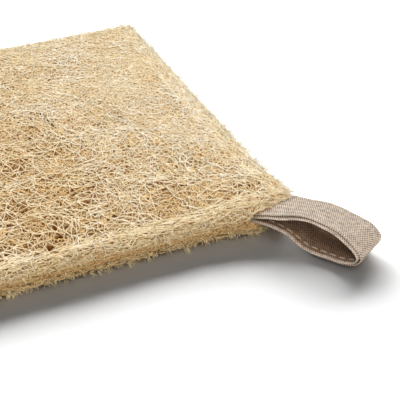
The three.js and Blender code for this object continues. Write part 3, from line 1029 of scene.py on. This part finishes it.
def linen_material(name, tint):
    """Plain-woven linen on the tape's own UVs, with painted shade darkening the face inside the loop."""
    material, tree, shader = principled(name, roughness=0.9, specular=0.15)
    uv = tree.nodes.new("ShaderNodeUVMap")
    uv.uv_map = "UVMap"
    split = tree.nodes.new("ShaderNodeSeparateXYZ")
    tree.links.new(uv.outputs["UV"], split.inputs["Vector"])
    weft = ribs(tree, split.outputs["X"], WEFT_PITCH)
    warp = ribs(tree, split.outputs["Y"], WARP_PITCH)
    crossing = arithmetic(tree, "MULTIPLY", warp, weft)
    slubs = [slub(tree, uv.outputs["UV"], stretch) for stretch in SLUB_SCALES]
    thread = arithmetic(tree, "MULTIPLY", arithmetic(tree, "ADD", *slubs), 0.5)
    tone = arithmetic(tree, "ADD", thread, arithmetic(tree, "MULTIPLY", crossing, 0.45))
    dark = tuple(c * 0.4 for c in tint)
    light = tuple(min(1, c * 1.6) for c in tint)
    shade = ramp(tree, tone, [(0.2, dark), (0.5, tint), (0.8, light)])
    # painted shade on the face inside the loop
    shaded_inside_loop = mix(tree, 1.0, shade, INNER_PAINTED_SHADE, "MULTIPLY")
    color = mix(tree, inner_ply(tree, split.outputs["Y"]), shade, shaded_inside_loop)
    tree.links.new(color, shader.inputs["Base Color"])
    bump(tree, shader, tone, strength=0.5, distance=0.2 * MM)
    return material


def thread_material(name, tint):
    """Sewing thread, with darker flecks."""
    material, tree, shader = principled(name, roughness=0.75, specular=0.2)
    flecks = [(0.3, tuple(c * 0.7 for c in tint)), (0.6, tint)]
    tree.links.new(ramp(tree, noise(tree, scale=1500, detail=3), flecks), shader.inputs["Base Color"])
    bump(tree, shader, noise(tree, scale=3000, detail=2), strength=0.5, distance=0.1 * MM)
    return material


LINEN = linen_material("linen", (0.50, 0.42, 0.345))
THREAD = thread_material("sewing_thread", (0.60, 0.51, 0.42))


STITCH_PITCH = 3.5
STITCH_SHARE = 0.62  # of the pitch that a stitch shows
STITCH_POINTS = 9
STITCH_RADIUS = 0.17
STITCH_CROWN = 0.2
STITCH_SINK = {1: 0.3, -1: 0.08}
STITCH_LINE = 1.9  # how far in from the slit edge they run
FIRST_STITCH = 12
LAST_STITCH = 14
STITCH_NAME = {1: "stitches_outside", -1: "stitches_inside"}


def stitches(face):
    """A row of stitches near the tape's slit edge; face is 1 outside the loop and -1 inside."""
    at, line, normal = even_line(TAPE_LINE, 0.1)
    starts = np.arange(FIRST_STITCH, at[-1] - LAST_STITCH, STITCH_PITCH)
    where = starts[:, None] + np.linspace(0, STITCH_PITCH * STITCH_SHARE, STITCH_POINTS)
    lines = np.stack([np.interp(where, at, line[:, k]) for k in range(2)], axis=-1)
    normals = np.stack([np.interp(where, at, normal[:, k]) for k in range(2)], axis=-1)
    crown = np.sin(np.linspace(0, np.pi, STITCH_POINTS)) ** 0.5
    offset = face * (TAPE_HALF - STITCH_SINK[face] + STITCH_CROWN * crown) * np.ones((len(starts), 1))
    place = on_tape(lines, normals, np.full(where.shape, STITCH_LINE), offset)
    up = np.concatenate([normals[..., :1] * ALONG, normals[..., 1:]], axis=-1)
    vertices, faces = tubes(place, STITCH_RADIUS, up, sides=8)
    return mesh_object(STITCH_NAME[face], vertices, faces, THREAD)


loop = tape()
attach(loop, "root")
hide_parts("loop_tape")
for face, node in ((1, "loop_stitches_outside"), (-1, "loop_stitches_inside")):
    row = stitches(face)
    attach(row, "root")
    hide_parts(node)

seam = frame["nodes"]["seam_thread"]
seam.data.materials.clear()
seam.data.materials.append(THREAD)

# Floor, light and camera


FLOOR_SIZE = 6
FLOOR_COLOR = (0.86, 0.86, 0.86, 1)
SENSOR_WIDTH = 36
LENS = 103.5
CAMERA_PLACE = (-0.10299, -0.36228, 0.2298)
CAMERA_TARGET = (0.0361, -0.0516, 0)
SKY_STRENGTH = 0.11


def floor():
    """The pale floor that the pad lies on."""
    bpy.ops.mesh.primitive_plane_add(size=FLOOR_SIZE)
    plane = bpy.context.object
    plane.name = "floor"
    material, _, shader = principled("floor_white", roughness=0.9, specular=0.0)
    shader.inputs["Base Color"].default_value = FLOOR_COLOR
    plane.data.materials.append(material)
    return plane


def aim(thing, target):
    """Turns a light or camera to look at a place."""
    thing.rotation_euler = (Vector(target) - thing.location).to_track_quat("-Z", "Y").to_euler()


def softbox(name, azimuth, elevation, distance, size, power, lit, color=(1, 1, 1)):
    """A rectangular light that aims at the pad and lights only the objects in lit."""
    data = bpy.data.lights.new(name, "AREA")
    data.shape = "RECTANGLE"
    data.size, data.size_y = size
    data.energy = power
    data.color = color
    light = bpy.data.objects.new(name, data)
    level, turn = math.cos(math.radians(elevation)), math.radians(azimuth)
    light.location = (
        distance * level * math.cos(turn),
        distance * level * math.sin(turn),
        distance * math.sin(math.radians(elevation)),
    )
    bpy.context.scene.collection.objects.link(light)
    aim(light, (0, 0, 0))
    receivers = bpy.data.collections.new(name + "_lights")
    for piece in lit:
        receivers.objects.link(piece)
    light.light_linking.receiver_collection = receivers


def camera(place, target):
    """The photograph's point of view."""
    data = bpy.data.cameras.new("camera")
    data.sensor_width = SENSOR_WIDTH
    data.lens = LENS
    data.clip_start = 0.01
    eye = bpy.data.objects.new("camera", data)
    eye.location = place
    bpy.context.scene.collection.objects.link(eye)
    aim(eye, target)
    bpy.context.scene.camera = eye


def world(strength):
    """An even white surrounding."""
    sky = bpy.data.worlds.new("studio")
    sky.use_nodes = True
    background = sky.node_tree.nodes["Background"]
    background.inputs["Color"].default_value = (1, 1, 1, 1)
    background.inputs["Strength"].default_value = strength
    bpy.context.scene.world = sky


ground = floor()
pieces = [o for o in bpy.context.scene.objects if o.type == "MESH" and o != ground]
softbox("low_window", azimuth=78, elevation=23.3, distance=1.6, size=(2.5, 0.95), power=149, lit=[ground])
softbox("floor_fill", azimuth=-90, elevation=65, distance=1.2, size=(1.0, 1.0), power=0.8, lit=[ground])
softbox("overhead", azimuth=120, elevation=62, distance=1.2, size=(1.8, 1.8), power=24.6, lit=pieces)
softbox(
    "front_fill",
    azimuth=-95,
    elevation=30,
    distance=1.2,
    size=(0.8, 0.8),
    power=8.6,
    lit=pieces,
    color=(1, 0.93, 0.85),
)
world(SKY_STRENGTH)
camera(CAMERA_PLACE, CAMERA_TARGET)
bpy.context.scene.view_settings.view_transform = "Standard"
